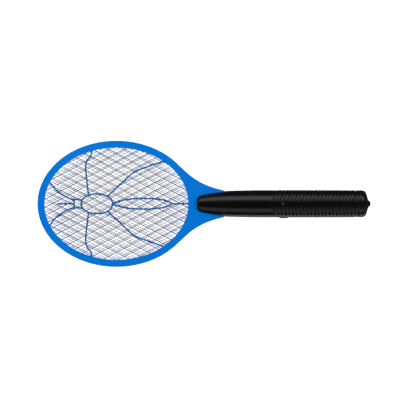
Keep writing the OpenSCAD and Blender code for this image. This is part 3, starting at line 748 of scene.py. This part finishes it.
# ------------------------------------------------------------------ screws
def pan_screw(name, x, y, z_head, z_tip, r, head_r, head_h, node):
    """Pan head with a cross recess, seen from the rear, and a threaded shank."""
    prof = [(0, z_head - head_h), (head_r * 0.55, z_head - head_h + 0.04), (head_r * 0.85, z_head - head_h + 0.22),
            (head_r * 0.97, z_head - head_h * 0.6), (head_r, z_head - head_h * 0.3), (head_r, z_head), (r, z_head)]
    z = z_head + 0.3
    while z < z_tip - 1.6:
        prof += [(r * 0.84, z), (r, z + 0.24), (r * 0.84, z + 0.48)]
        z += 0.6
    prof += [(r * 0.8, z_tip - 1.2), (0.15, z_tip), (0, z_tip)]
    o = lathe(name, prof, 36, "z", (x, y, 0), M_SCREW)
    bm = bmesh.new()
    bm.from_mesh(o.data)
    bmesh.ops.recalc_face_normals(bm, faces=bm.faces)
    bm.to_mesh(o.data)
    bm.free()
    for hx_, hy_ in ((head_r * 0.58, 0.36), (0.36, head_r * 0.58)):
        bool_op(o, box_mm(x - hx_, x + hx_, y - hy_, y + hy_, z_head - head_h - 1, z_head - head_h + 0.85), "DIFFERENCE")
    tidy(o, 40)
    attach(o, "racket")
    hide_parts(node)


for i, s in enumerate((1, -1)):
    pan_screw(f"throat_screw_{i + 1}", -2, 17 * s, -4.4, 4.4, 1.25, 2.6, 1.4, "throat_screws")
    pan_screw(f"handle_screw_{i + 1}", 14, 8 * s, -8.6, 9.4, 1.25, 2.6, 1.6, "handle_screws")
pan_screw("handle_screw_3", 138, 0, -13.8, 9.0, 1.25, 2.7, 1.8, "handle_screws")


# ------------------------------------------------------------------ end cap
def end_cap():
    segs = 432
    out = []
    xs = list(np.arange(204.9, 213.2, 0.12))
    rows = [(204.9, "edge")] + [(x, "skin") for x in xs[1:]]
    dome = [(213.6, 18.1), (214.3, 18.05), (215.2, 17.86), (216.0, 17.62), (216.8, 17.2), (217.6, 16.5), (218.3, 15.6), (219.0, 14.3),
            (219.7, 12.6), (220.3, 10.6), (220.8, 8.6), (221.2, 6.9), (221.5, 6.0), (221.9, 5.35), (222.4, 4.75), (222.9, 4.25),
            (223.4, 3.8), (223.9, 3.3), (224.35, 2.75), (224.7, 2.05), (224.93, 1.1), (225.0, 0.0)]
    inner = [(219.0, 0.0), (218.9, 7.0), (217.8, 10.6), (216.6, 13.4), (215.4, 15.6), (214.0, 16.9), (204.9, 16.9)]
    verts, rings = [], []

    def add_ring(fn):
        rings.append(list(range(len(verts), len(verts) + segs)))
        for j in range(segs):
            a = 2 * math.pi * j / segs
            x, r = fn(a)
            verts.append((x, -r * math.sin(a), r * math.cos(a)))

    def ribbed(x, a):
        # arc length from the nearer crest line, front or rear
        q = abs((a + math.pi) % (2 * math.pi) - math.pi)
        q = min(q, math.pi - q) if q > math.pi / 2 else q
        u = x - shear(q * 18.4)
        fade = 1 - float(smoothstep(211.4, 212.8, x))
        return 18.1 + rib_height(u) * fade * rib_fade(q * 18.4)

    for i, (x, kind) in enumerate(rows):
        if kind == "edge":
            add_ring(lambda a, x=x: (x + 0.0, ribbed(x, a) - 0.22))
            add_ring(lambda a, x=x: (x + 0.22, ribbed(x + 0.22, a)))
        else:
            if x < 205.3:
                continue
            add_ring(lambda a, x=x: (x, ribbed(x, a)))
    for x, r in dome:
        if r > 0:
            add_ring(lambda a, x=x, r=r: (x, r))
        else:
            rings.append([len(verts)])
            verts.append((x, 0, 0))
    faces = []

    def bridge(a, b):
        for j in range(segs):
            k = (j + 1) % segs
            if len(a) == 1:
                faces.append((a[0], b[j], b[k]))
            elif len(b) == 1:
                faces.append((a[j], b[0], a[k]))
            else:
                faces.append((a[j], b[j], b[k], a[k]))

    n_out = len(rings)
    for x, r in inner:
        if r > 0:
            add_ring(lambda a, x=x, r=r: (x, r))
        else:
            rings.append([len(verts)])
            verts.append((x, 0, 0))
    for i in range(n_out - 1):
        bridge(rings[i], rings[i + 1])
    for i in range(n_out, len(rings) - 1):
        bridge(rings[i], rings[i + 1])
    bridge(rings[-1], rings[0])
    o = make("end_cap_body", verts, faces, M_BLACK)
    bm = bmesh.new()
    bm.from_mesh(o.data)
    bmesh.ops.recalc_face_normals(bm, faces=bm.faces)
    bm.to_mesh(o.data)
    bm.free()
    for s in (1, -1):
        bool_op(o, box_mm(222.5, 227, *((3.9, 12) if s > 0 else (-12, -3.9)), -12, 12), "DIFFERENCE")
    eye = lathe("cutter", [(0, -12), (1.1, -12), (1.1, 12), (0, 12)], 40, "y", (223.1, 0, 0))
    bool_op(o, eye, "DIFFERENCE")
    # bayonet pins
    for k in range(3):
        a = math.radians(120 * k)
        pin = lathe("cutter", [(0, 15.0), (1.0, 15.0), (1.2, 15.2), (1.2, 17.4), (0, 17.4)], 32, "z", (0, 0, 0))
        rot = Matrix.Rotation(a, 4, "X")
        for v in pin.data.vertices:
            p = Vector((v.co.x * 1000 + 208.6, v.co.y * 1000, v.co.z * 1000 - AX))
            q = rot @ Vector((0, p.y, p.z))
            v.co = Vector((p.x, q.y, q.z + AX)) / 1000
        bool_op(o, pin, "UNION")
    tidy(o, 32)
    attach(o, "end_cap")
    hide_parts("end_cap")
    return o


end_cap()


# ------------------------------------------------------------------ push button and indicator
def push_button():
    """An oval key whose crowned face follows the handle's round."""
    n = 80
    cx = 108.0
    rings, verts = [], []

    def inset(d):
        return np.array(oval(-d, n=n // 2 - 1))

    def face_y(x, z, lift):
        return -math.sqrt(max(0.0, (18.9 + lift) ** 2 - z * z))

    layers = [(0.0, None, -15.9), (0.0, 0.25, None), (0.06, 0.46, None), (0.2, 0.64, None), (0.42, 0.73, None), (0.75, 0.79, None),
              (1.5, 0.8, None), (2.4, 0.8, None), (3.1, 0.79, None)]
    # finger rest: a shallow dish
    for d, lift, y in layers:
        p = inset(d)
        rings.append(list(range(len(verts), len(verts) + len(p))))
        for x, z in p:
            yy = y if y is not None else face_y(x, z, lift - 0.12 * math.exp(-((x - cx) / 3.2) ** 2 - (z / 1.8) ** 2))
            verts.append((x, yy, z))
    faces = []
    k = len(rings[0])
    for a, b in zip(rings[:-1], rings[1:]):
        for j in range(k):
            faces.append((a[j], a[(j + 1) % k], b[(j + 1) % k], b[j]))
    faces.append(tuple(rings[-1]))
    # flange inside the handle
    fl = []
    for g, y in ((1.0, -15.9), (1.0, -14.9)):
        p = np.array(oval(g, n=n // 2 - 1))
        fl.append(list(range(len(verts), len(verts) + len(p))))
        for x, z in p:
            verts.append((x, y, z))
    for j in range(k):
        faces.append((rings[0][j], fl[0][j], fl[0][(j + 1) % k], rings[0][(j + 1) % k]))
        faces.append((fl[0][j], fl[1][j], fl[1][(j + 1) % k], fl[0][(j + 1) % k]))
    faces.append(tuple(fl[1][::-1]))
    o = make("push_button_key", verts, faces, M_RED)
    tidy(o, 38)
    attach(o, "button")
    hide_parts("power_button")


push_button()

led_profile = [(0, 12.0), (1.85, 12.0), (1.85, 13.0), (1.5, 13.05), (1.5, 17.3)] + \
    [(1.5 * math.cos(math.radians(t)), 17.3 + 1.5 * math.sin(math.radians(t))) for t in range(8, 90, 8)] + [(0, 18.8)]
led = lathe("indicator_lens", led_profile, 48, "z", (106.7, 0, 0), M_LED)
tidy(led, 40)
legs = []
for s in (1.1, -1.1):
    v = [(106.7 + s + dx, dy, z) for z in (-3.5, -1.0, 12.2) for dx, dy in ((-.25, -.25), (.25, -.25), (.25, .25), (-.25, .25))]
    f = [(0, 1, 2, 3), (11, 10, 9, 8)] + [(i * 4 + j, (i + 1) * 4 + j, (i + 1) * 4 + (j + 1) % 4, i * 4 + (j + 1) % 4) for i in range(2) for j in range(4)]
    legs.append(make("leg", v, f, M_SCREW))
led_legs = join(legs, "indicator_legs")
tidy(led_legs, 40)
for o in (led, led_legs):
    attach(o, "racket")
    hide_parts("indicator_led")

# ------------------------------------------------------------------ stage, light and camera
floor_me = bpy.data.meshes.new("studio_floor")
floor_me.from_pydata([(-12, -12, 0), (12, -12, 0), (12, 12, 0), (-12, 12, 0)], [], [(0, 1, 2, 3)])
floor = bpy.data.objects.new("studio_floor", floor_me)
bpy.context.scene.collection.objects.link(floor)
fm = bpy.data.materials.new("studio_white")
fm.use_nodes = True
fb = fm.node_tree.nodes["Principled BSDF"]
fb.inputs["Base Color"].default_value = (0.9, 0.9, 0.9, 1)
fb.inputs["Roughness"].default_value = 0.9
fb.inputs["Specular IOR Level"].default_value = 0.0
fb.inputs["Emission Color"].default_value = (1, 1, 1, 1)
fb.inputs["Emission Strength"].default_value = 0.75
floor_me.materials.append(fm)
floor.visible_glossy = False
# a white card lies on the floor along the near side of the handle and brightens its lower edge
card_me = bpy.data.meshes.new("bounce_card")
card_me.from_pydata([(0.0, -0.062, 3e-4), (0.40, -0.062, 3e-4), (0.40, -0.04, 3e-4), (0.0, -0.04, 3e-4)], [], [(0, 1, 2, 3)])
card_me.materials.append(fm)
card = bpy.data.objects.new("bounce_card", card_me)
bpy.context.scene.collection.objects.link(card)

world = bpy.data.worlds.new("studio")
bpy.context.scene.world = world
world.use_nodes = True
bg = world.node_tree.nodes["Background"]
bg.inputs["Color"].default_value = (1, 1, 1, 1)
bg.inputs["Strength"].default_value = 0.05
# beyond the floor the backdrop is as white as the floor, but it adds almost nothing to the light
wn = world.node_tree
path = wn.nodes.new("ShaderNodeLightPath")
gain = wn.nodes.new("ShaderNodeMapRange")
gain.inputs["To Min"].default_value = 0.05
gain.inputs["To Max"].default_value = 1.0
wn.links.new(path.outputs["Is Camera Ray"], gain.inputs["Value"])
wn.links.new(gain.outputs["Result"], bg.inputs["Strength"])


def soft_box(name, tilt, heading, dist, width, length, radiance):
    """A rectangle of light `tilt` degrees off vertical; its long side lies across the heading."""
    l = bpy.data.lights.new(name, "AREA")
    l.shape = "RECTANGLE"
    l.size = length
    l.size_y = width
    l.energy = radiance * math.pi * width * length
    o = bpy.data.objects.new(name, l)
    bpy.context.scene.collection.objects.link(o)
    a, h = math.radians(tilt), math.radians(heading)
    pos = Vector((dist * math.sin(a) * math.cos(h), dist * math.sin(a) * math.sin(h), dist * math.cos(a)))
    o.location = pos
    o.visible_camera = False
    o.rotation_euler = (Vector((0, 0, 0.02)) - pos).normalized().to_track_quat("-Z", "Y").to_euler()
    return o


soft_box("soft_box_far", 49, 90, 1.1, 0.72, 3.0, 1.75)
soft_box("soft_box_near", 59, -90, 1.1, 0.66, 3.0, 0.78)
for end in (soft_box("fill_head_end", 52, 180, 1.6, 1.2, 1.6, 2.45), soft_box("fill_cap_end", 52, 0, 1.6, 1.2, 1.6, 2.45)):
    end.visible_glossy = False

cam_data = bpy.data.cameras.new("camera")
cam_data.type = "ORTHO"
cam_data.ortho_scale = 0.540
cam_data.clip_start = 0.01
cam_data.clip_end = 20
cam = bpy.data.objects.new("camera", cam_data)
bpy.context.scene.collection.objects.link(cam)
cam.location = (-0.0054, 0.00506, 3.0)
cam.rotation_euler = (0, 0, 0)
bpy.context.scene.camera = cam
bpy.context.scene.view_settings.view_transform = "Standard"
bpy.context.scene.view_settings.look = "None"
